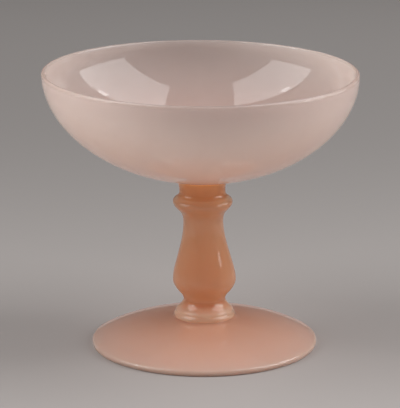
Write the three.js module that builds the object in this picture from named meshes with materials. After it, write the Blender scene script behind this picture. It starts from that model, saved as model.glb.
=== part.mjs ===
// A footed candy dish of pink opal glass: five solids of revolution, joined hot, that stand on one upright axis.
// Millimetres, +Z up, with the origin on the table under the middle of the foot.
import * as THREE from "three";

// Driving dimensions of the bowl
const RIM_DIAMETER = 172; // across the outside of the lip
const BOWL_HEIGHT = 58.125; // from the pad under the bowl to the top of the lip
const BOWL_FULLNESS = 1.94; // power of its curve: 2 is an ellipse, and less has straighter sides
const LIP_THICKNESS = 2.4; // the wall at the fire-polished lip
const BASE_THICKNESS = 4.5; // the glass in the middle of the bowl, over the pad

// Driving dimensions of the neck, the spool that joins the bowl to the stem
const NECK_TOP_DIAMETER = 38; // the flare under the bowl, as wide as the bowl's pad
const NECK_WAIST_DIAMETER = 25.4;
const NECK_BASE_DIAMETER = 26.4; // where it stands on the stem
const NECK_BASE_TO_WAIST = 2.5;
const NECK_WAIST_TO_TOP = 7.375;

// Driving dimensions of the stem, from its base upwards
const STEM_BASE_DIAMETER = 30.6;
const STEM_WAIST_DIAMETER = 23.2;
const BELLY_DIAMETER = 34.5;
const STEM_NECK_DIAMETER = 21.7;
const KNOP_DIAMETER = 32.2;
const BASE_EDGE_ROUND = 1.25; // the round under the edge of the base
const BASE_TO_WAIST = 6; // from the top of that round
const WAIST_TO_BELLY = 11.75;
const BELLY_TO_NECK = 32;
const NECK_TO_KNOP = 13;
const KNOP_TO_TOP = 3;

// Driving dimensions of the wafer between the stem and the foot
const WAFER_DIAMETER = 31.4;
const WAFER_THICKNESS = 2.25;

// Driving dimensions of the foot
const FOOT_DIAMETER = 124;
const FOOT_HEIGHT = 15.75; // from the table to the flat under the wafer
const FOOT_EDGE_THICKNESS = 3.4; // the round of its outer edge
const FOOT_BEND_DIAMETER = 68; // where the steep and the shallow slope of its upper face would cross
const FOOT_BEND_HEIGHT = 8.5;
const WAFER_LEDGE = 0.5; // flat of the foot that shows round the wafer
const RESTING_RING_WIDTH = 5; // flat ring that the dish stands on
const FOOT_HOLLOW_DEPTH = 5.5; // rise of the underside from the ring to the ground spot
const GROUND_SPOT_DIAMETER = 26; // spot where the working rod was ground away
const GROUND_SPOT_DEPTH = 1.2;

// How far a swelling stretch keeps to the widths at its two ends, as shares of its height
const BASE_SPREAD = { leave: 0.42, arrive: 0.45 };
const BELLY_UNDERSIDE = { leave: 0.31, arrive: 0.49 };
const BELLY_TAPER = { leave: 0.22, arrive: 0.37 };
const KNOP_UNDERSIDE = { leave: 0.84, arrive: 0.55 };

// How a flaring stretch leaves its upright end, and where it bends, as shares of its width and height
const KNOP_SHOULDER = { leave: 0.25, bendOut: 0.65, bendUp: 0.35 };
const NECK_UNDERCUT = { leave: 0.4, bendOut: 0, bendUp: 0.6 };
const NECK_FLARE = { leave: 0.1, bendOut: 0.45, bendUp: 0.9 };
const HOLLOW_BEND = 0.6; // where the hollow under the foot turns down, as a share of its width

// Facets
const WIDE_SEGMENTS = 64; // round the bowl and the foot
const NARROW_SEGMENTS = 44; // round the neck, the stem and the wafer
const BOWL_STEPS = 16; // along the bowl's outer face, and along its inner face
const CURVE_STEPS = 8; // along one curve of the other outlines
const EDGE_STEPS = 3; // along a quarter turn of a rounded edge
const SAME_POINT = 0.01; // neighbouring points of an outline nearer than this are one

const QUARTER_TURN = Math.PI / 2;

// A stretch of an ellipse in the plane of an outline, both ends included.
function arc(centre, acrossRadius, upRadius, fromAngle, toAngle, steps) {
  return Array.from({ length: steps + 1 }, (_, i) => {
    const angle = THREE.MathUtils.lerp(fromAngle, toAngle, i / steps);
    const out = acrossRadius * Math.cos(angle);
    const up = upRadius * Math.sin(angle);
    return new THREE.Vector2(centre.x + out, centre.y + up);
  });
}

// A stretch between two widths that is upright at both ends, like turned work.
function swell(from, to, { leave, arrive }) {
  const rise = to.y - from.y;
  const leaving = new THREE.Vector2(from.x, from.y + leave * rise);
  const arriving = new THREE.Vector2(to.x, to.y - arrive * rise);
  return new THREE.CubicBezierCurve(from, leaving, arriving, to).getPoints(CURVE_STEPS);
}

// A stretch that is upright at its first end only, and bends out to the other.
function flare(from, to, { leave, bendOut, bendUp }) {
  const leaving = new THREE.Vector2(from.x, THREE.MathUtils.lerp(from.y, to.y, leave));
  const bend = new THREE.Vector2(
    THREE.MathUtils.lerp(from.x, to.x, bendOut),
    THREE.MathUtils.lerp(from.y, to.y, bendUp),
  );
  return new THREE.CubicBezierCurve(from, leaving, bend, to).getPoints(CURVE_STEPS);
}

// Turns an outline round the upright axis. It runs from the bottom of the axis, outside, to the top of the axis.
function turned(name, bottom, outline, top, segments, material) {
  const points = [new THREE.Vector2(0, bottom), ...outline, new THREE.Vector2(0, top)];
  const distinct = points.filter((point, i) => i === 0 || point.distanceTo(points[i - 1]) > SAME_POINT);
  const geometry = new THREE.LatheGeometry(distinct, segments);
  geometry.rotateX(QUARTER_TURN);
  const mesh = new THREE.Mesh(geometry, material);
  mesh.name = name;
  return mesh;
}

// Opal glass: the same glass looks paler where it is blown thin and deeper where it is solid.
function opalGlass(colour) {
  return new THREE.MeshStandardMaterial({ color: colour, roughness: 0.12, metalness: 0 });
}

// One face of the bowl: angle 0 is at the lip, and a quarter turn is on the axis.
function bowlFace(lipRadius, lipHeight, depth, fromAngle, toAngle) {
  const power = 2 / BOWL_FULLNESS;
  return Array.from({ length: BOWL_STEPS + 1 }, (_, i) => {
    const angle = THREE.MathUtils.lerp(fromAngle, toAngle, i / BOWL_STEPS);
    const radius = lipRadius * Math.cos(angle) ** power;
    return new THREE.Vector2(radius, lipHeight - depth * Math.sin(angle) ** power);
  });
}

// Bowl: nearly half an ellipsoid, with a pad where the neck is joined and a wall that thickens downwards.
function makeBowl() {
  const lipRound = LIP_THICKNESS / 2;
  const lipHeight = BOWL_HEIGHT - lipRound;
  const outerRadius = RIM_DIAMETER / 2;
  const innerRadius = outerRadius - LIP_THICKNESS;
  const padAngle = Math.acos((NECK_TOP_DIAMETER / RIM_DIAMETER) ** (BOWL_FULLNESS / 2));
  const outerDepth = lipHeight / Math.sin(padAngle) ** (2 / BOWL_FULLNESS);
  const innerDepth = lipHeight - BASE_THICKNESS;
  const lipCentre = new THREE.Vector2(outerRadius - lipRound, lipHeight);
  const outline = [
    ...bowlFace(outerRadius, lipHeight, outerDepth, padAngle, 0),
    ...arc(lipCentre, lipRound, lipRound, 0, Math.PI, 2 * EDGE_STEPS),
    ...bowlFace(innerRadius, lipHeight, innerDepth, 0, QUARTER_TURN).slice(0, -1),
  ];
  return turned("bowl", 0, outline, BASE_THICKNESS, WIDE_SEGMENTS, opalGlass(0xd3b3a8));
}

// Neck: waisted a little above the stem, then flared out to the pad under the bowl.
function makeNeck() {
  const base = new THREE.Vector2(NECK_BASE_DIAMETER / 2, 0);
  const waist = new THREE.Vector2(NECK_WAIST_DIAMETER / 2, NECK_BASE_TO_WAIST);
  const top = new THREE.Vector2(NECK_TOP_DIAMETER / 2, neckHeight());
  const outline = [
    ...flare(waist, base, NECK_UNDERCUT).reverse(),
    ...flare(waist, top, NECK_FLARE),
  ];
  return turned("neck", 0, outline, neckHeight(), NARROW_SEGMENTS, opalGlass(0xad6d45));
}

function neckHeight() {
  return NECK_BASE_TO_WAIST + NECK_WAIST_TO_TOP;
}

// Stem: a solid baluster that swells and narrows from its spread base to the knop under the neck.
function makeStem() {
  const base = new THREE.Vector2(STEM_BASE_DIAMETER / 2, BASE_EDGE_ROUND);
  const baseEdge = new THREE.Vector2(base.x - BASE_EDGE_ROUND, BASE_EDGE_ROUND);
  const waist = new THREE.Vector2(STEM_WAIST_DIAMETER / 2, base.y + BASE_TO_WAIST);
  const belly = new THREE.Vector2(BELLY_DIAMETER / 2, waist.y + WAIST_TO_BELLY);
  const neck = new THREE.Vector2(STEM_NECK_DIAMETER / 2, belly.y + BELLY_TO_NECK);
  const knop = new THREE.Vector2(KNOP_DIAMETER / 2, neck.y + NECK_TO_KNOP);
  const top = new THREE.Vector2(NECK_BASE_DIAMETER / 2, stemHeight());
  const outline = [
    ...arc(baseEdge, BASE_EDGE_ROUND, BASE_EDGE_ROUND, -QUARTER_TURN, 0, EDGE_STEPS),
    ...swell(base, waist, BASE_SPREAD),
    ...swell(waist, belly, BELLY_UNDERSIDE),
    ...swell(belly, neck, BELLY_TAPER),
    ...swell(neck, knop, KNOP_UNDERSIDE),
    ...flare(knop, top, KNOP_SHOULDER),
  ];
  return turned("stem", 0, outline, stemHeight(), NARROW_SEGMENTS, opalGlass(0xb0764f));
}

function stemHeight() {
  return BASE_EDGE_ROUND + BASE_TO_WAIST + WAIST_TO_BELLY + BELLY_TO_NECK + NECK_TO_KNOP + KNOP_TO_TOP;
}

// Wafer: a disc pressed flat between stem and foot, so its edge bulges out as a half round.
function makeWafer() {
  const bulge = WAFER_THICKNESS / 2;
  const bulgeCentre = new THREE.Vector2(WAFER_DIAMETER / 2 - bulge, bulge);
  const outline = arc(bulgeCentre, bulge, bulge, -QUARTER_TURN, QUARTER_TURN, 2 * EDGE_STEPS);
  return turned("wafer", 0, outline, WAFER_THICKNESS, NARROW_SEGMENTS, opalGlass(0xb88263));
}

// Foot: a low cone that eases outwards, round at the edge, hollowed below and ground in the middle.
function makeFoot() {
  const edgeRound = FOOT_EDGE_THICKNESS / 2;
  const edgeCentre = new THREE.Vector2(FOOT_DIAMETER / 2 - edgeRound, edgeRound);
  const bend = new THREE.Vector2(FOOT_BEND_DIAMETER / 2, FOOT_BEND_HEIGHT);
  // The upper face leaves the round edge where a straight line from the bend touches it.
  const toBend = bend.clone().sub(edgeCentre);
  const edgeTurn = toBend.angle() - Math.acos(edgeRound / toBend.length());
  const edge = arc(edgeCentre, edgeRound, edgeRound, -QUARTER_TURN, edgeTurn, 2 * EDGE_STEPS);
  const waferSeat = new THREE.Vector2(WAFER_DIAMETER / 2 + WAFER_LEDGE, FOOT_HEIGHT);
  const upperFace = new THREE.QuadraticBezierCurve(edge.at(-1), bend, waferSeat);

  const spotEdge = new THREE.Vector2(GROUND_SPOT_DIAMETER / 2, FOOT_HOLLOW_DEPTH);
  const spotCentre = new THREE.Vector2(0, FOOT_HOLLOW_DEPTH);
  const spot = arc(spotCentre, spotEdge.x, GROUND_SPOT_DEPTH, QUARTER_TURN, 0, EDGE_STEPS);
  const ringInside = new THREE.Vector2(edgeCentre.x - RESTING_RING_WIDTH, 0);
  const hollowBend = new THREE.Vector2(
    THREE.MathUtils.lerp(spotEdge.x, ringInside.x, HOLLOW_BEND),
    FOOT_HOLLOW_DEPTH,
  );
  const hollow = new THREE.QuadraticBezierCurve(spotEdge, hollowBend, ringInside);
  const outline = [
    ...spot.slice(1),
    ...hollow.getPoints(CURVE_STEPS),
    ...edge,
    ...upperFace.getPoints(CURVE_STEPS),
  ];
  const spotHeight = FOOT_HOLLOW_DEPTH + GROUND_SPOT_DEPTH;
  return turned("foot", spotHeight, outline, FOOT_HEIGHT, WIDE_SEGMENTS, opalGlass(0xbb8b74));
}

// Assembly: each piece stands face to face on the flat top of the one below.
const dish = new THREE.Group();
const stack = [
  [makeFoot(), FOOT_HEIGHT],
  [makeWafer(), WAFER_THICKNESS],
  [makeStem(), stemHeight()],
  [makeNeck(), neckHeight()],
  [makeBowl(), BOWL_HEIGHT],
];
let height = 0;
for (const [piece, pieceHeight] of stack) {
  piece.position.z = height;
  height += pieceHeight;
  dish.add(piece);
}

export default dish;
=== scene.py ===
"""A footed candy dish of pink opal glass, from the table up: foot, wafer, stem, neck and bowl."""
import math

import bpy
from mathutils import Matrix, Vector
from mathutils.geometry import interpolate_bezier


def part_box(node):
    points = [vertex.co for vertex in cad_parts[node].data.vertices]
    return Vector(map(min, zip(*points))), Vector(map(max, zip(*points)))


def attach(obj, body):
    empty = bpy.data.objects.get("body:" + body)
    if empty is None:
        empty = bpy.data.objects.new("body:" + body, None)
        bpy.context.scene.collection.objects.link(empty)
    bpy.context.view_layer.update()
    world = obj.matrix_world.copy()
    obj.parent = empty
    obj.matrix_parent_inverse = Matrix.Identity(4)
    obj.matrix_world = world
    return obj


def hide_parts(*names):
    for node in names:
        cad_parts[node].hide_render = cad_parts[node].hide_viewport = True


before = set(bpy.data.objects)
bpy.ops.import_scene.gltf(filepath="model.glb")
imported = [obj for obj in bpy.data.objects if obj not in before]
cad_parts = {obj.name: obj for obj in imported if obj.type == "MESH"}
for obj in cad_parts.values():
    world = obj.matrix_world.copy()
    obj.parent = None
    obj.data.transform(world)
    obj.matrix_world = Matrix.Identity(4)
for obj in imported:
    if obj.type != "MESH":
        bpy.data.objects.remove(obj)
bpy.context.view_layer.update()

# The foot is a gather of opal glass, spread into a disc with a wooden paddle while it is soft.
# Its edge is fire-polished round, it is hollowed below so that it stands on a ring, and the scar of the
# working rod under its middle is ground away to a shallow satin spot.
FOOT_DIAMETER = 0.124
FOOT_EDGE_THICKNESS = 0.0034
EDGE_UNDER_TURN = math.radians(-25)  # turn at which the round edge ends below
EDGE_UNDER_WIDTH = 0.0009  # of the tighter curve from there down to the resting ring
FOOT_BEND = (0.0455, 0.0115)  # where the steep slope by its edge and the shallow one inside it would cross
WAFER_SEAT = (0.0184, 0.01485)  # radius and height at which the upper face turns up into the wafer
RESTING_RING_WIDTH = 0.005
FOOT_HOLLOW_DEPTH = 0.0055
HOLLOW_BEND = 0.6  # where the hollow turns down, as a share of its width
GROUND_SPOT_RADIUS = 0.013
GROUND_SPOT_DEPTH = 0.0012
FOOT_PALE = (0.727, 0.463, 0.377, 1.0)  # rosy at its thin edge
FOOT_DEEP = (0.701, 0.367, 0.243, 1.0)
FOOT_SCATTER = 0.0096
CURVE_STEPS = 14  # along one curve of an outline
SCATTER_SHARES = (1.0, 0.907, 0.80)  # of a glass's scatter length, for red, green and blue
POLISH = 0.01  # roughness of a fire-polished face
HANDLING = 0.03  # roughness that smudges and fine wear add in patches
SATIN = 0.45  # roughness that grinding adds
GRIT_HEIGHT = 0.00003  # of the scratches of the grinding wheel
CORD_STRENGTH = 0.15  # how far faint streaks of paler glass change the colour
CORD_COUNT = 22.0  # streaks in each metre
CORD_DETAIL = 2.0
CORD_TWIST = 1.5
SMUDGE_COUNT = 45.0  # patches in each metre
SMUDGE_DETAIL = 3.0
GRIT_COUNT = 2600.0  # scratches in each metre
GRIT_DETAIL = 2.0
NOISE_MIDDLE = 0.5  # mean of soft noise, which runs from 0 to 1
GLASS_IOR = 1.5
PALE_DEPTH = 0.0  # depth of colour at which a glass has its pale colour
FULL_DEPTH = 1.0  # depth of colour at which it has its deep one


def along(start, leaving, arriving, end, steps=CURVE_STEPS):
    """Points along one curve of an outline, each a radius and a height, without the last one."""
    corners = [Vector((radius, height)) for radius, height in (start, leaving, arriving, end)]
    return [(point.x, point.y) for point in interpolate_bezier(*corners, steps + 1)][:-1]


def bend(start, corner, end, steps=CURVE_STEPS):
    """Points of a curve that eases from the line start-corner into the line corner-end."""
    leaving = [first + (middle - first) * 2 / 3 for first, middle in zip(start, corner)]
    arriving = [last + (middle - last) * 2 / 3 for last, middle in zip(end, corner)]
    return along(start, leaving, arriving, end, steps)


def rounded(centre, radius, from_turn, to_turn, steps=CURVE_STEPS):
    """Points of a round edge, turning about its centre, without the last one."""
    turns = [from_turn + (to_turn - from_turn) * step / steps for step in range(steps)]
    return [(centre[0] + radius * math.cos(turn), centre[1] + radius * math.sin(turn)) for turn in turns]


def glazed(points, first_depth, last_depth, satin=0.0):
    """Adds to each point of an outline how deep its colour is and how far it is ground satin."""
    step_depth = (last_depth - first_depth) / len(points)
    return [
        (radius, height, first_depth + step_depth * step, satin)
        for step, (radius, height) in enumerate(points)
    ]


class NodeBench:
    """Puts nodes into a tree and wires them."""

    def __init__(self, tree):
        self.nodes = tree.nodes
        self.links = tree.links

    def result_of(self, operation, *terms):
        """The output of a Math node."""
        made = self.nodes.new("ShaderNodeMath")
        made.operation = operation
        for socket, term in zip(made.inputs, terms):
            if isinstance(term, bpy.types.NodeSocket):
                self.links.new(term, socket)
            else:
                socket.default_value = term
        return made.outputs[0]

    def clouds(self, count, detail, distortion=0.0):
        """Soft noise in the body of the glass, with so many clouds in each metre."""
        noise = self.nodes.new("ShaderNodeTexNoise")
        noise.inputs["Scale"].default_value = count
        noise.inputs["Detail"].default_value = detail
        noise.inputs["Distortion"].default_value = distortion
        place = self.nodes.new("ShaderNodeTexCoord").outputs["Object"]
        self.links.new(place, noise.inputs["Vector"])
        return noise.outputs[0]

    def held(self, name):
        """A value that the skin holds at each point."""
        attribute = self.nodes.new("ShaderNodeAttribute")
        attribute.attribute_name = name
        return attribute.outputs["Fac"]


def opal_tint_group():
    """The colour of opal glass: deeper where light goes further in it, and deeper as painted shade by the
    bowl's lip and in the neck; a little paler along its cords.
    """
    group = bpy.data.node_groups.new("opal_tint", "ShaderNodeTree")
    for name in ("Pale", "Deep"):
        group.interface.new_socket(name, in_out="INPUT", socket_type="NodeSocketColor")
    group.interface.new_socket("Cords", in_out="INPUT", socket_type="NodeSocketFloat")
    group.interface.new_socket("Colour", in_out="OUTPUT", socket_type="NodeSocketColor")
    given = group.nodes.new("NodeGroupInput").outputs
    bench = NodeBench(group)
    streaks = bench.clouds(CORD_COUNT, CORD_DETAIL, CORD_TWIST)
    cords = bench.result_of("SUBTRACT", streaks, NOISE_MIDDLE)
    depth = bench.result_of("MULTIPLY_ADD", cords, given["Cords"], bench.held("depth"))
    tint = group.nodes.new("ShaderNodeMix")
    tint.data_type = "RGBA"
    group.links.new(depth, tint.inputs["Factor"])
    group.links.new(given["Pale"], tint.inputs["A"])
    group.links.new(given["Deep"], tint.inputs["B"])
    group.links.new(tint.outputs["Result"], group.nodes.new("NodeGroupOutput").inputs["Colour"])
    return group


def glass_face_group():
    """The face of the glass: fire-polished, dulled in patches by hands, and satin where it is ground."""
    group = bpy.data.node_groups.new("glass_face", "ShaderNodeTree")
    for name in ("Polish", "Handling", "Satin"):
        group.interface.new_socket(name, in_out="INPUT", socket_type="NodeSocketFloat")
    for name in ("Roughness", "Grit"):
        group.interface.new_socket(name, in_out="OUTPUT", socket_type="NodeSocketFloat")
    given = group.nodes.new("NodeGroupInput").outputs
    bench = NodeBench(group)
    patches = bench.clouds(SMUDGE_COUNT, SMUDGE_DETAIL)
    smudge = bench.result_of("MULTIPLY_ADD", patches, given["Handling"], given["Polish"])
    scratches = bench.clouds(GRIT_COUNT, GRIT_DETAIL)
    satin = bench.held("satin")
    ready = group.nodes.new("NodeGroupOutput").inputs
    group.links.new(bench.result_of("MULTIPLY_ADD", satin, given["Satin"], smudge), ready["Roughness"])
    group.links.new(bench.result_of("MULTIPLY", satin, scratches), ready["Grit"])
    return group


opal_tint = opal_tint_group()
glass_face = glass_face_group()


def opal_glass(name, pale, deep, scatter):
    """Glossy opal glass: a milky body that light spreads in, under a clear face."""
    glass = bpy.data.materials.new(name)
    glass.use_nodes = True
    nodes = glass.node_tree.nodes
    links = glass.node_tree.links
    shader = nodes["Principled BSDF"]
    shader.inputs["IOR"].default_value = GLASS_IOR
    shader.inputs["Subsurface Weight"].default_value = 1.0
    shader.inputs["Subsurface Radius"].default_value = SCATTER_SHARES
    shader.inputs["Subsurface Scale"].default_value = scatter
    tint = nodes.new("ShaderNodeGroup")
    tint.node_tree = opal_tint
    tint.inputs["Pale"].default_value = pale
    tint.inputs["Deep"].default_value = deep
    tint.inputs["Cords"].default_value = CORD_STRENGTH
    links.new(tint.outputs["Colour"], shader.inputs["Base Color"])
    face = nodes.new("ShaderNodeGroup")
    face.node_tree = glass_face
    face.inputs["Polish"].default_value = POLISH
    face.inputs["Handling"].default_value = HANDLING
    face.inputs["Satin"].default_value = SATIN
    links.new(face.outputs["Roughness"], shader.inputs["Roughness"])
    grit = nodes.new("ShaderNodeBump")
    grit.inputs["Distance"].default_value = GRIT_HEIGHT
    links.new(face.outputs["Grit"], grit.inputs["Height"])
    links.new(grit.outputs[0], shader.inputs["Normal"])
    return glass


foot_glass = opal_glass("foot_glass", FOOT_PALE, FOOT_DEEP, FOOT_SCATTER)
edge_round = FOOT_EDGE_THICKNESS / 2
edge_centre = (FOOT_DIAMETER / 2 - edge_round, edge_round)
to_bend = Vector(FOOT_BEND) - Vector(edge_centre)
edge_turn = math.atan2(to_bend.y, to_bend.x) - math.acos(edge_round / to_bend.length)
edge_end = (
    edge_centre[0] + edge_round * math.cos(edge_turn),
    edge_centre[1] + edge_round * math.sin(edge_turn),
)
spot_top = (0.0, FOOT_HOLLOW_DEPTH + GROUND_SPOT_DEPTH)
spot_edge = (GROUND_SPOT_RADIUS, FOOT_HOLLOW_DEPTH)
spot_bend = (GROUND_SPOT_RADIUS * HOLLOW_BEND, spot_top[1])
edge = rounded(edge_centre, edge_round, EDGE_UNDER_TURN, edge_turn)
edge_start = edge[0]
under_corner = (edge_start[0], 0.0)
ring_outside = (edge_start[0] - EDGE_UNDER_WIDTH, 0.0)
ring_inside = (edge_centre[0] - RESTING_RING_WIDTH, 0.0)
hollow_bend = (spot_edge[0] + (ring_inside[0] - spot_edge[0]) * HOLLOW_BEND, FOOT_HOLLOW_DEPTH)
foot_outline = [
    *glazed(bend(spot_top, spot_bend, spot_edge), FULL_DEPTH, FULL_DEPTH, satin=1.0),
    *glazed(bend(spot_edge, hollow_bend, ring_inside), FULL_DEPTH, PALE_DEPTH),
    *glazed([ring_inside, ring_outside], PALE_DEPTH, PALE_DEPTH, satin=1.0),
    *glazed(bend(ring_outside, under_corner, edge_start)[1:], PALE_DEPTH, PALE_DEPTH),
    *glazed(edge, PALE_DEPTH, PALE_DEPTH),
    *glazed(bend(edge_end, FOOT_BEND, WAFER_SEAT, 2 * CURVE_STEPS), PALE_DEPTH, FULL_DEPTH),
]

# The wafer is a small disc of paler glass, dropped on the foot to take the stem.
# It is pressed flat while soft, so its edge bulges out as a soft bead, the lower ring of the collar,
# and its glass runs on into the base of the stem.
WAFER_DIAMETER = 0.0336
BEAD_ROUND = 0.0022
BEAD_HEIGHT = 0.0008  # of the middle of the bead over the bottom of the wafer
BEAD_FROM = math.radians(-20)  # turn at which the bead rises from the foot
BEAD_TO = math.radians(56)  # turn at which it meets the base of the stem
BEAD_FOOT_CORNER = (0.0172, 0.0153)  # where the slopes of the foot and the bead would cross
WAFER_PALE = (0.95, 0.46, 0.315, 1.0)
WAFER_DEEP = (0.651, 0.305, 0.154, 1.0)  # where it ends, at the waist of the stem
WAFER_SCATTER = 0.045

wafer_glass = opal_glass("wafer_glass", WAFER_PALE, WAFER_DEEP, WAFER_SCATTER)
wafer_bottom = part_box("wafer")[0].z
bead_centre = (WAFER_DIAMETER / 2 - BEAD_ROUND, wafer_bottom + BEAD_HEIGHT)
bead = rounded(bead_centre, BEAD_ROUND, BEAD_FROM, BEAD_TO)
foot_outline += glazed(bend(WAFER_SEAT, BEAD_FOOT_CORNER, bead[0]), FULL_DEPTH, FULL_DEPTH)
wafer_outline = glazed(bead, PALE_DEPTH, PALE_DEPTH)

# The stem is one solid gather, shaped hot with the jacks into a baluster: a spread base, a waist, a belly,
# a long neck and a ring-shaped knop. It is the thickest glass of the dish, so its colour is the deepest.
STEM_BASE_RADIUS = 0.0158
STEM_WAIST_RADIUS = 0.01155
BELLY_RADIUS = 0.0174
STEM_NECK_RADIUS = 0.0110
KNOP_RADIUS = 0.0164
KNOP_UNDER_RADIUS = 0.0138  # where its underside turns from hollow to round
KNOP_SHOULDER_RADIUS = 0.0142  # where its shoulder turns from round to hollow
BASE_EDGE_ROUND = 0.0022
BASE_ROUND_FROM = math.radians(-6)
BASE_ROUND_TO = math.radians(60)
BASE_EDGE_HEIGHT = 0.0008  # of the middle of its round edge
WAIST_HEIGHT = 0.0075
WAIST_TO_BELLY = 0.0115
BELLY_TO_NECK = 0.032
NECK_TO_KNOP_UNDER = 0.00737
KNOP_UNDER_TO_KNOP = 0.0042
KNOP_TO_SHOULDER = 0.0029
STEM_PALE = (0.632, 0.253, 0.142, 1.0)
STEM_DEEP_AND_SHADE = (0.58, 0.21, 0.09, 1.0)  # painted shade in the neck, which sits under the bowl; also the tone of the stem's cords
SHOULDER_SHADE_DEPTH = 0.4  # depth of painted shade on the shoulder of the knop, running up into the neck
STEM_SCATTER = 0.115


def swell(start, end, leave, arrive):
    """A stretch between two widths that is upright at both ends, like turned work."""
    rise = end[1] - start[1]
    return along(start, (start[0], start[1] + leave * rise), (end[0], end[1] - arrive * rise), end)


def flare(start, end, leave, bend_out, bend_up):
    """A stretch that is upright at its first end only, and bends away to the other."""
    width = end[0] - start[0]
    rise = end[1] - start[1]
    leaving = (start[0], start[1] + leave * rise)
    return along(start, leaving, (start[0] + bend_out * width, start[1] + bend_up * rise), end)


def draw_in(start, end, arrive, bend_out, bend_up):
    """The same stretch the other way: it is upright at its last end only."""
    width = start[0] - end[0]
    rise = start[1] - end[1]
    arriving = (end[0], end[1] + arrive * rise)
    return along(start, (end[0] + bend_out * width, end[1] + bend_up * rise), arriving, end)


stem_glass = opal_glass("stem_glass", STEM_PALE, STEM_DEEP_AND_SHADE, STEM_SCATTER)
stem_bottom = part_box("stem")[0].z
base_edge_centre = (STEM_BASE_RADIUS - BASE_EDGE_ROUND, stem_bottom + BASE_EDGE_HEIGHT)
base_edge_end = (
    base_edge_centre[0] + BASE_EDGE_ROUND * math.cos(BASE_ROUND_TO),
    base_edge_centre[1] + BASE_EDGE_ROUND * math.sin(BASE_ROUND_TO),
)
stem_waist = (STEM_WAIST_RADIUS, stem_bottom + WAIST_HEIGHT)
belly = (BELLY_RADIUS, stem_waist[1] + WAIST_TO_BELLY)
stem_neck = (STEM_NECK_RADIUS, belly[1] + BELLY_TO_NECK)
knop_under = (KNOP_UNDER_RADIUS, stem_neck[1] + NECK_TO_KNOP_UNDER)
knop = (KNOP_RADIUS, knop_under[1] + KNOP_UNDER_TO_KNOP)
knop_shoulder = (KNOP_SHOULDER_RADIUS, knop[1] + KNOP_TO_SHOULDER)
base_round = rounded(base_edge_centre, BASE_EDGE_ROUND, BASE_ROUND_FROM, BASE_ROUND_TO)
base_slope = draw_in(base_edge_end, stem_waist, arrive=0.413, bend_out=0.755, bend_up=0.891)
stem_base_outline = [
    *glazed(base_round, PALE_DEPTH, PALE_DEPTH),
    *glazed(base_slope, PALE_DEPTH, FULL_DEPTH),
]
below_knop = [
    *swell(stem_waist, belly, leave=0.31, arrive=0.49),
    *swell(belly, stem_neck, leave=0.22, arrive=0.37),
    *flare(stem_neck, knop_under, leave=0.51, bend_out=0.29, bend_up=0.733),
    *draw_in(knop_under, knop, arrive=0.32, bend_out=0.434, bend_up=0.643),
]
knop_top = flare(knop, knop_shoulder, leave=0.52, bend_out=0.57, bend_up=0.80)
stem_outline = [
    *glazed(below_knop, PALE_DEPTH, PALE_DEPTH),
    *glazed(knop_top, PALE_DEPTH, SHOULDER_SHADE_DEPTH),
]

# The neck is the joining bit: a spool of soft glass that fuses the bowl to the knop.
# It is waisted by the jacks just above the knop and flares out under the bowl.
NECK_TOP_RADIUS = 0.019
NECK_WAIST_RADIUS = 0.01266
NECK_BOTTOM_TO_WAIST = 0.0010

neck_bottom, neck_top_height = [corner.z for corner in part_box("neck")]
neck_waist = (NECK_WAIST_RADIUS, neck_bottom + NECK_BOTTOM_TO_WAIST)
neck_top = (NECK_TOP_RADIUS, neck_top_height)
neck_hollow = draw_in(knop_shoulder, neck_waist, arrive=0.40, bend_out=0.72, bend_up=0.92)
neck_flare = flare(neck_waist, neck_top, leave=0.55, bend_out=0.12, bend_up=0.93)
# The neck and the knop's shoulder take the stem's deep colour: painted shade under the bowl.
neck_outline = [
    *glazed(neck_hollow, SHOULDER_SHADE_DEPTH, FULL_DEPTH),
    *glazed(neck_flare, FULL_DEPTH, FULL_DEPTH),
]

# The bowl is blown, opened out hot and fire-polished at the lip, so its wall thins from the base upwards.
# Its curve is a little straighter than an ellipse, and it was set on the neck a hair off level.
RIM_RADIUS = 0.086
BOWL_FULLNESS = 1.94  # power of its curve: 2 is an ellipse
LIP_THICKNESS = 0.0024
BASE_THICKNESS = 0.0045
BOWL_STEPS = 48  # along each face
BOWL_PALE = (0.669, 0.436, 0.395, 1.0)
# Deep tone of the bowl's cords, and the colour of the painted shade towards its lip
BOWL_DEEP_AND_SHADE = (0.388, 0.237, 0.188, 1.0)
WALL_SHADE_DEPTH = 0.25  # painted shade: how much deeper and darker its colour is by the lip than at its base
LIP_SHADE_DEPTH = 0.6  # painted shade: the same on the lip itself
BOWL_SCATTER = 0.0327


def bowl_face(lip_radius, lip_height, depth, from_turn, to_turn):
    """Points of one face of the bowl without the last one: turn 0 is the lip, a quarter turn the axis."""
    power = 2 / BOWL_FULLNESS
    turns = [from_turn + (to_turn - from_turn) * step / BOWL_STEPS for step in range(BOWL_STEPS)]
    return [
        (lip_radius * math.cos(turn) ** power, lip_height - depth * math.sin(turn) ** power)
        for turn in turns
    ]


bowl_glass = opal_glass("bowl_glass", BOWL_PALE, BOWL_DEEP_AND_SHADE, BOWL_SCATTER)
bowl_bottom, bowl_top = [corner.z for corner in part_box("bowl")]
lip_round = LIP_THICKNESS / 2
lip_height = bowl_top - lip_round
pad_turn = math.acos((NECK_TOP_RADIUS / RIM_RADIUS) ** (BOWL_FULLNESS / 2))
outer_depth = (lip_height - bowl_bottom) / math.sin(pad_turn) ** (2 / BOWL_FULLNESS)
inner_depth = lip_height - bowl_bottom - BASE_THICKNESS
bowl_outside = bowl_face(RIM_RADIUS, lip_height, outer_depth, pad_turn, 0.0)
bowl_lip = rounded((RIM_RADIUS - lip_round, lip_height), lip_round, 0.0, math.pi)
bowl_inside = bowl_face(RIM_RADIUS - LIP_THICKNESS, lip_height, inner_depth, 0.0, math.pi / 2)
bowl_middle = (0.0, bowl_bottom + BASE_THICKNESS)
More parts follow.
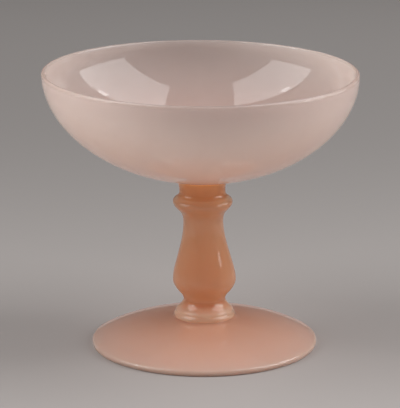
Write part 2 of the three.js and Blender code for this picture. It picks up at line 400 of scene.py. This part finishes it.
# The wall is painted deeper towards the lip, though it thins there: painted shade, darkest on the lip.
bowl_outline = [
    *glazed(bowl_outside, PALE_DEPTH, WALL_SHADE_DEPTH),
    *glazed(bowl_lip, LIP_SHADE_DEPTH, LIP_SHADE_DEPTH),
    *glazed([*bowl_inside, bowl_middle], WALL_SHADE_DEPTH, PALE_DEPTH),
]

# Once joined hot, the five gathers are one body of glass, and the light that falls into the bowl glows on
# down its neck and stem. So the dish is one skin, turned round its axis as the blower turns the rod, with
# a soft wave here and there in its fire-polished face.
TURN_SEGMENTS = 224
DISH_LEAN = -0.0152  # sideways drift of the axis for each metre of height: the dish was joined by eye
LEAN_START = 0.0765  # height at which the leaning axis crosses the upright one
STEM_BOW = 0.0005  # how far the stem bows to the right at its middle
BOW_PEAK = 4.0  # brings s (1 - s) to 1 halfway up, where s is the share of the way
BOWL_TILT = -0.0052  # drop of the bowl's right side, as a slope
OUT_OF_ROUND = 0.004  # drift of the radius on its way round, as a share of it
DRIFT_SCALE = 0.8  # of the noise that gives this drift, on a circle of radius 1
DRIFT_RISE = 8.0  # how far that noise is climbed in each metre of height
RIPPLE = 0.00012  # height of the soft waves that the tools leave in the skin
RIPPLE_COUNT = 38.0  # waves in each metre
WAVE_SEED = 3.0
SHARP_CORNER = 0.6  # radians: a larger bend of the skin is shaded as a crease
SEAM_TURN = math.pi / 2  # the outline starts and ends its way round at the back
WELD_DISTANCE = 1e-6  # points of the skin this close become one
JOINT_MARGIN = 0.75  # a face on a joint, half a gather short of the upper one, takes the upper glass
GLASS_SOCKETS = ("Foot Glass", "Wafer Glass", "Stem Glass", "Bowl Glass")  # from the table up
MEASURE_SOCKETS = (
    "Lean", "Lean Start", "Bow", "Tilt", "Tilt Start", "Tilt End",
    "Out Of Round", "Ripple", "Ripples", "Seed",
)


def turning_tree():
    """Geometry nodes that swing an outline round the upright axis into one closed skin."""
    tree = bpy.data.node_groups.new("turned_glass", "GeometryNodeTree")
    sockets = tree.interface
    sockets.new_socket("Outline", in_out="INPUT", socket_type="NodeSocketGeometry")
    sockets.new_socket("Segments", in_out="INPUT", socket_type="NodeSocketInt")
    for name in MEASURE_SOCKETS:
        sockets.new_socket(name, in_out="INPUT", socket_type="NodeSocketFloat")
    for name in GLASS_SOCKETS:
        sockets.new_socket(name, in_out="INPUT", socket_type="NodeSocketMaterial")
    sockets.new_socket("Skin", in_out="OUTPUT", socket_type="NodeSocketGeometry")
    given = tree.nodes.new("NodeGroupInput").outputs
    result_of = NodeBench(tree).result_of

    def node(kind, settings=(), **wires):
        """A node with its settings, and its inputs wired or filled by socket name."""
        made = tree.nodes.new(kind)
        for setting, value in dict(settings).items():
            setattr(made, setting, value)
        for name, wire in wires.items():
            socket = made.inputs[name.replace("_", " ")]
            if isinstance(wire, bpy.types.NodeSocket):
                tree.links.new(wire, socket)
            else:
                socket.default_value = wire
        return made

    def stored(name):
        """A value that is stored on the points under a name."""
        return node("GeometryNodeInputNamedAttribute", {"data_type": "FLOAT"}, Name=name).outputs[0]

    # A flat grid: one column for each segment, one row for each point of the outline.
    count = node("GeometryNodeAttributeDomainSize", {"component": "MESH"}, Geometry=given["Outline"])
    rows = count.outputs["Point Count"]
    columns = result_of("ADD", given["Segments"], 1)
    size = 1.0
    grid = node("GeometryNodeMeshGrid", Size_X=size, Size_Y=size, Vertices_X=columns, Vertices_Y=rows)
    flat = node("ShaderNodeSeparateXYZ", Vector=node("GeometryNodeInputPosition").outputs[0])
    round_share = result_of("ADD", flat.outputs["X"], size / 2)
    row_share = result_of("ADD", flat.outputs["Y"], size / 2)
    row = result_of("ROUND", result_of("MULTIPLY", row_share, result_of("SUBTRACT", rows, 1)))
    turn = result_of("MULTIPLY_ADD", round_share, 2 * math.pi, SEAM_TURN)

    def from_outline(kind, value):
        """What the outline holds at the row of each point of the grid."""
        sample = node("GeometryNodeSampleIndex", {"data_type": kind}, Geometry=given["Outline"], Index=row)
        tree.links.new(value, sample.inputs["Value"])
        return sample.outputs[0]

    def kept(skin, name):
        """The skin with one more value of the outline stored on its points."""
        return node(
            "GeometryNodeStoreNamedAttribute", {"data_type": "FLOAT", "domain": "POINT"},
            Geometry=skin, Name=name, Value=from_outline("FLOAT", stored(name)),
        ).outputs[0]

    # Each point of the grid takes its values from the outline, and a place on an unrolled map of the skin.
    skin = grid.outputs["Mesh"]
    for name in ("depth", "satin", "gather"):
        skin = kept(skin, name)
    length_share = from_outline("FLOAT", stored("length_share"))
    unrolled = node("ShaderNodeCombineXYZ", X=round_share, Y=length_share)
    skin = node(
        "GeometryNodeStoreNamedAttribute", {"data_type": "FLOAT2", "domain": "CORNER"},
        Geometry=skin, Name="OFBake", Value=unrolled.outputs[0],
    ).outputs[0]

    # Hand-made glass is never quite round or upright: its radius drifts, its axis leans and its bowl tilts.
    place = from_outline("FLOAT_VECTOR", node("GeometryNodeInputPosition").outputs[0])
    outline = node("ShaderNodeSeparateXYZ", Vector=place)
    radius = outline.outputs["X"]
    height = outline.outputs["Z"]
    across = result_of("COSINE", turn)
    away = result_of("SINE", turn)
    drift_height = result_of("MULTIPLY", height, DRIFT_RISE)
    drift_place = node("ShaderNodeCombineXYZ", X=across, Y=away, Z=drift_height)
    drift = node(
        "ShaderNodeTexNoise", {"noise_dimensions": "4D"},
        Scale=DRIFT_SCALE, Detail=0.0, W=given["Seed"],
    )
    tree.links.new(drift_place.outputs[0], drift.inputs["Vector"])
    drift_share = result_of("SUBTRACT", drift.outputs[0], NOISE_MIDDLE)
    swing = result_of("MULTIPLY", drift_share, given["Out Of Round"])
    real_radius = result_of("MULTIPLY_ADD", radius, swing, radius)
    x_upright = result_of("MULTIPLY", real_radius, across)
    lean = result_of("MULTIPLY", result_of("SUBTRACT", height, given["Lean Start"]), given["Lean"])
    up_stem = result_of("MINIMUM", result_of("DIVIDE", height, given["Tilt End"]), 1.0)
    bow_shape = result_of("MULTIPLY", up_stem, result_of("MULTIPLY_ADD", up_stem, -BOW_PEAK, BOW_PEAK))
    drift_across = result_of("MULTIPLY_ADD", bow_shape, given["Bow"], lean)
    tilt = node("ShaderNodeMapRange", {"interpolation_type": "SMOOTHSTEP"}, Value=height)
    tree.links.new(given["Tilt Start"], tilt.inputs["From Min"])
    tree.links.new(given["Tilt End"], tilt.inputs["From Max"])
    tree.links.new(given["Tilt"], tilt.inputs["To Max"])
    turned = node(
        "ShaderNodeCombineXYZ",
        X=result_of("ADD", x_upright, drift_across),
        Y=result_of("MULTIPLY", real_radius, away),
        Z=result_of("MULTIPLY_ADD", x_upright, tilt.outputs[0], height),
    )
    skin = node("GeometryNodeSetPosition", Geometry=skin, Position=turned.outputs[0]).outputs[0]
    skin = node("GeometryNodeMergeByDistance", Geometry=skin, Distance=WELD_DISTANCE).outputs[0]

    # Soft waves along the skin bend what it mirrors. The ground faces are flat.
    wave = node(
        "ShaderNodeTexNoise", {"noise_dimensions": "4D"},
        Scale=given["Ripples"], Detail=0.0, W=given["Seed"],
    )
    tree.links.new(node("GeometryNodeInputPosition").outputs[0], wave.inputs["Vector"])
    wave_share = result_of("SUBTRACT", wave.outputs[0], NOISE_MIDDLE)
    full_wave = result_of("MULTIPLY", wave_share, given["Ripple"])
    wave_height = result_of("MULTIPLY", full_wave, result_of("SUBTRACT", 1.0, stored("satin")))
    push = node("ShaderNodeVectorMath", {"operation": "SCALE"}, Scale=wave_height)
    tree.links.new(node("GeometryNodeInputNormal").outputs[0], push.inputs[0])
    skin = node("GeometryNodeSetPosition", Geometry=skin, Offset=push.outputs[0]).outputs[0]

    # The skin is smooth but for its creases, and each gather has its own glass.
    skin = node(
        "GeometryNodeSetShadeSmooth", {"domain": "FACE"}, Geometry=skin, Shade_Smooth=True,
    ).outputs[0]
    corner_angle = node("GeometryNodeInputMeshEdgeAngle").outputs["Unsigned Angle"]
    skin = node(
        "GeometryNodeSetShadeSmooth", {"domain": "EDGE"}, Geometry=skin,
        Selection=result_of("GREATER_THAN", corner_angle, SHARP_CORNER), Shade_Smooth=False,
    ).outputs[0]
    skin = node("GeometryNodeRealizeInstances", Geometry=skin).outputs[0]
    for number, name in enumerate(GLASS_SOCKETS):
        from_here_up = result_of("GREATER_THAN", stored("gather"), number - JOINT_MARGIN)
        skin = node(
            "GeometryNodeSetMaterial", Geometry=skin, Selection=from_here_up, Material=given[name],
        ).outputs[0]
    tree.links.new(skin, tree.nodes.new("NodeGroupOutput").inputs["Skin"])
    return tree


collar_outline = [*wafer_outline, *stem_base_outline]
gathers = (foot_outline, collar_outline, [*stem_outline, *neck_outline], bowl_outline)
dish_outline = [point for outline in gathers for point in outline]
outline_points = [(radius, 0.0, height) for radius, height, depth, satin in dish_outline]
outline_steps = [(step, step + 1) for step in range(len(outline_points) - 1)]
lengths = [0.0]
for start, end in outline_steps:
    lengths.append(lengths[-1] + math.dist(outline_points[start], outline_points[end]))
outline_values = {
    "depth": [depth for radius, height, depth, satin in dish_outline],
    "satin": [satin for radius, height, depth, satin in dish_outline],
    "gather": [number for number, outline in enumerate(gathers) for point in outline],
    "length_share": [length / lengths[-1] for length in lengths],
}
outline_mesh = bpy.data.meshes.new("dish_outline")
outline_mesh.from_pydata(outline_points, outline_steps, [])
for name, values in outline_values.items():
    outline_mesh.attributes.new(name, "FLOAT", "POINT").data.foreach_set("value", values)

dish = bpy.data.objects.new("opal_dish", outline_mesh)
bpy.context.scene.collection.objects.link(dish)
turned_glass = turning_tree()
turning = dish.modifiers.new("turning", "NODES")
turning.node_group = turned_glass
turning_values = {
    "Segments": TURN_SEGMENTS, "Lean": DISH_LEAN, "Lean Start": LEAN_START, "Bow": STEM_BOW,
    "Tilt": BOWL_TILT, "Tilt Start": neck_bottom, "Tilt End": neck_top_height,
    "Out Of Round": OUT_OF_ROUND, "Ripple": RIPPLE, "Ripples": RIPPLE_COUNT, "Seed": WAVE_SEED,
    "Foot Glass": foot_glass, "Wafer Glass": wafer_glass,
    "Stem Glass": stem_glass, "Bowl Glass": bowl_glass,
}
for socket in turned_glass.interface.items_tree:
    if socket.name in turning_values:
        turning[socket.identifier] = turning_values[socket.name]
graph = bpy.context.evaluated_depsgraph_get()
dish_mesh = bpy.data.meshes.new_from_object(dish.evaluated_get(graph), depsgraph=graph)
dish_mesh.name = "opal_dish"
dish.modifiers.clear()
dish.data = dish_mesh
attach(dish, "root")
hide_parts("foot", "wafer", "stem", "neck", "bowl")

# The floor is a wide sheet of warm grey paper on a table, which fills the whole picture behind the dish.
# Its colour is painted darker a little behind the dish and lighter again further back: painted shade and
# light for how the lamps' light falls off over it.
FLOOR_SIZE = 7.0
# Paper colours: near, in the painted shade behind the dish, and far, where it is painted lighter
PAPER_NEAR = (0.475, 0.441, 0.425, 1.0)
PAPER_PAINTED_SHADE = (0.405, 0.376, 0.363, 1.0)
PAPER_FAR = (0.52, 0.483, 0.466, 1.0)
PAINTED_SHADE_FROM = -0.05  # distance behind the dish at which the painted shade on the paper starts
PAINTED_SHADE_TO = 1.05  # distance at which the painted shade ends
PAINTED_SHADE_MIDDLE = 0.45  # share of the way at which the painted shade is darkest
PAPER_ROUGHNESS = 0.9
PAPER_SPECULAR = 0.1

half = FLOOR_SIZE / 2
floor_mesh = bpy.data.meshes.new("floor")
floor_corners = [(-half, -half, 0), (half, -half, 0), (half, half, 0), (-half, half, 0)]
floor_mesh.from_pydata(floor_corners, [], [(0, 1, 2, 3)])
floor = bpy.data.objects.new("floor", floor_mesh)
bpy.context.scene.collection.objects.link(floor)
paper = bpy.data.materials.new("floor_paper")
paper.use_nodes = True
paper_shader = paper.node_tree.nodes["Principled BSDF"]
paper_bench = NodeBench(paper.node_tree)
paper_place = paper_bench.nodes.new("ShaderNodeSeparateXYZ")
paper_bench.links.new(paper_bench.nodes.new("ShaderNodeTexCoord").outputs["Object"], paper_place.inputs[0])
past_start = paper_bench.result_of("SUBTRACT", paper_place.outputs["Y"], PAINTED_SHADE_FROM)
share_behind = paper_bench.result_of("DIVIDE", past_start, PAINTED_SHADE_TO - PAINTED_SHADE_FROM)
# A ramp paints shade and light on the paper: darker behind the dish, lighter further back.
paper_painted_shade = paper_bench.nodes.new("ShaderNodeValToRGB")
paper_painted_shade.color_ramp.interpolation = "EASE"
paper_painted_shade.color_ramp.elements[0].color = PAPER_NEAR
paper_painted_shade.color_ramp.elements[1].color = PAPER_FAR
paper_painted_shade.color_ramp.elements.new(PAINTED_SHADE_MIDDLE).color = PAPER_PAINTED_SHADE
paper_bench.links.new(share_behind, paper_painted_shade.inputs[0])
paper_bench.links.new(paper_painted_shade.outputs["Color"], paper_shader.inputs["Base Color"])
paper_shader.inputs["Roughness"].default_value = PAPER_ROUGHNESS
paper_shader.inputs["Specular IOR Level"].default_value = PAPER_SPECULAR
floor_mesh.materials.append(paper)

# The light is two tall softboxes, one on each side of the dish, which lean over it, and a dim room.
# Small lamps show only in the gloss: a card on each side of the stem draws the short lines on the knop,
# a strip draws the streak on the belly, and a hot spot by each softbox draws a glint in the bowl.
RIGHT_LOW = Vector((1.229, -0.114, 0.403))  # middle of its lower edge
RIGHT_HIGH = Vector((0.631, -0.096, 2.181))  # middle of its upper edge
RIGHT_AIM = Vector((0.0, -0.24, 0.98))
RIGHT_WIDTH = 1.133
RIGHT_RADIANCE = 3.01
LEFT_LOW = Vector((-1.311, -0.356, 0.46))
LEFT_HIGH = Vector((-0.575, -0.331, 1.973))
LEFT_AIM = Vector((0.0, -0.63, 0.80))
LEFT_WIDTH = 1.082
LEFT_RADIANCE = 2.84
STRIP_LOW = Vector((0.335, -0.114, 0.105))
STRIP_HIGH = Vector((0.335, -0.114, 0.131))
STRIP_AIM = Vector((0.0, 0.0, 0.055))
STRIP_WIDTH = 0.055
STRIP_RADIANCE = 3.5
CARD_RIGHT_LOW = Vector((0.249, -0.022, 0.1206))
CARD_RIGHT_HIGH = Vector((0.249, -0.022, 0.1457))
CARD_RIGHT_WIDTH = 0.23
CARD_LEFT_LOW = Vector((-0.239, -0.073, 0.1206))
CARD_LEFT_HIGH = Vector((-0.239, -0.073, 0.1457))
CARD_LEFT_WIDTH = 0.165
CARD_AIM = Vector((0.0, 0.0, 0.08))
CARD_RADIANCE = 4.5
HOT_RIGHT_SHARES = (0.92, -0.34)  # across and up, in half widths and half heights of its softbox
HOT_LEFT_SHARES = (-0.92, -0.2)
HOT_WIDTH = 0.08
HOT_HEIGHT = 0.14
HOT_FORWARD = 0.08  # how far it hangs in front of its softbox
HOT_RADIANCE = 4.2
ROOM_LIGHT = (0.127, 0.127, 0.127, 1.0)


def hang_softbox(name, low, high, aim, width, radiance):
    """A rectangle of even light between its lower and upper edge, turned to face the point aim."""
    middle = (low + high) / 2
    up = (high - low).normalized()
    across = (aim - middle).cross(up).normalized()
    back = across.cross(up)
    lamp = bpy.data.lights.new(name, "AREA")
    lamp.shape = "RECTANGLE"
    lamp.size = width
    lamp.size_y = (high - low).length
    lamp.energy = radiance * math.pi * lamp.size * lamp.size_y
    softbox = bpy.data.objects.new(name, lamp)
    softbox.rotation_euler = Matrix((across, up, back)).transposed().to_euler()
    softbox.location = middle
    softbox.visible_camera = False
    bpy.context.scene.collection.objects.link(softbox)
    return softbox


def hang_hot_spot(name, low, high, aim, width, shares):
    """A small bright patch close in front of a softbox, at a share of its width and height."""
    middle = (low + high) / 2
    forward = aim - middle
    up = (high - low) / 2
    across = forward.cross(up).normalized() * width / 2
    place = middle + across * shares[0] + up * shares[1] + forward.normalized() * HOT_FORWARD
    half = up.normalized() * HOT_HEIGHT / 2
    return hang_softbox(name, place - half, place + half, place + forward, HOT_WIDTH, HOT_RADIANCE)


hang_softbox("softbox_right", RIGHT_LOW, RIGHT_HIGH, RIGHT_AIM, RIGHT_WIDTH, RIGHT_RADIANCE)
hang_softbox("softbox_left", LEFT_LOW, LEFT_HIGH, LEFT_AIM, LEFT_WIDTH, LEFT_RADIANCE)
mirrored_cards = (
    hang_softbox("strip_right", STRIP_LOW, STRIP_HIGH, STRIP_AIM, STRIP_WIDTH, STRIP_RADIANCE),
    hang_softbox("card_right", CARD_RIGHT_LOW, CARD_RIGHT_HIGH, CARD_AIM, CARD_RIGHT_WIDTH, CARD_RADIANCE),
    hang_softbox("card_left", CARD_LEFT_LOW, CARD_LEFT_HIGH, CARD_AIM, CARD_LEFT_WIDTH, CARD_RADIANCE),
    hang_hot_spot("hot_spot_right", RIGHT_LOW, RIGHT_HIGH, RIGHT_AIM, RIGHT_WIDTH, HOT_RIGHT_SHARES),
    hang_hot_spot("hot_spot_left", LEFT_LOW, LEFT_HIGH, LEFT_AIM, LEFT_WIDTH, HOT_LEFT_SHARES),
)
for card in mirrored_cards:
    card.visible_diffuse = False
room = bpy.data.worlds.new("room")
room.use_nodes = True
room.node_tree.nodes["Background"].inputs["Color"].default_value = ROOM_LIGHT
bpy.context.scene.world = room
bpy.context.scene.view_settings.view_transform = "Standard"

# The camera stands a long way back and looks down a little, as in the photograph of 400 by 408 pixels.
# Its focal length is given in pixels of that picture.
CAMERA_PLACE = (-0.0013, -1.450, 0.4663)
CAMERA_DOWN = math.radians(14.96)
SENSOR_SIZE = 36.0
PICTURE_HEIGHT = 408
FOCAL_PIXELS = 2745

lens = bpy.data.cameras.new("camera")
lens.sensor_width = SENSOR_SIZE
lens.lens = FOCAL_PIXELS / PICTURE_HEIGHT * SENSOR_SIZE
camera = bpy.data.objects.new("camera", lens)
camera.location = CAMERA_PLACE
camera.rotation_euler = (math.pi / 2 - CAMERA_DOWN, 0.0, 0.0)
bpy.context.scene.collection.objects.link(camera)
bpy.context.scene.camera = camera
